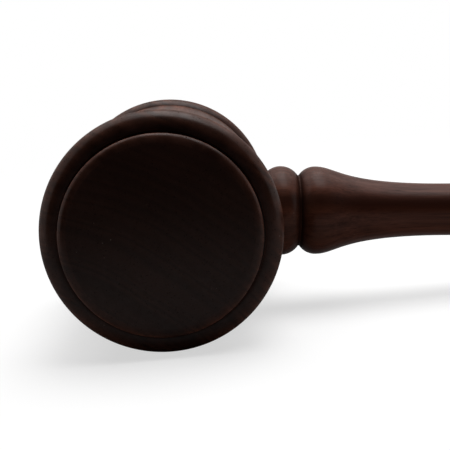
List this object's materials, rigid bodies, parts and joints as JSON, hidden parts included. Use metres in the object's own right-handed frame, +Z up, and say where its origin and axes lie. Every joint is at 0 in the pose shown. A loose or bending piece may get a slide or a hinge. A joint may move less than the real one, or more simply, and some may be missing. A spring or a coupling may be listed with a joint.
{
  "type": "gavel",
  "caption": "Turned wooden gavel: a round head with a raised band at each end and flat striking faces, on a tapered handle with a beaded collar and a ball end.",
  "frame": {"origin": "on the table that the gavel lies on, under the middle of its bounding box", "axes": "+Z up, +X along the handle away from the head, +Y along the head's axis, from the pictured striking face to the other"},
  "size_m": [0.2586, 0.092, 0.06],
  "materials": {
    "head_wood": "dark walnut stain under a satin coat, end grain on the striking faces, long grain round the barrel",
    "handle_wood": "the same stain, a little redder and lighter, under a satin coat, with the grain along the handle"
  },
  "bodies": {
    "root": {"head": "head_wood", "handle": "handle_wood"}
  },
  "joints": []
}
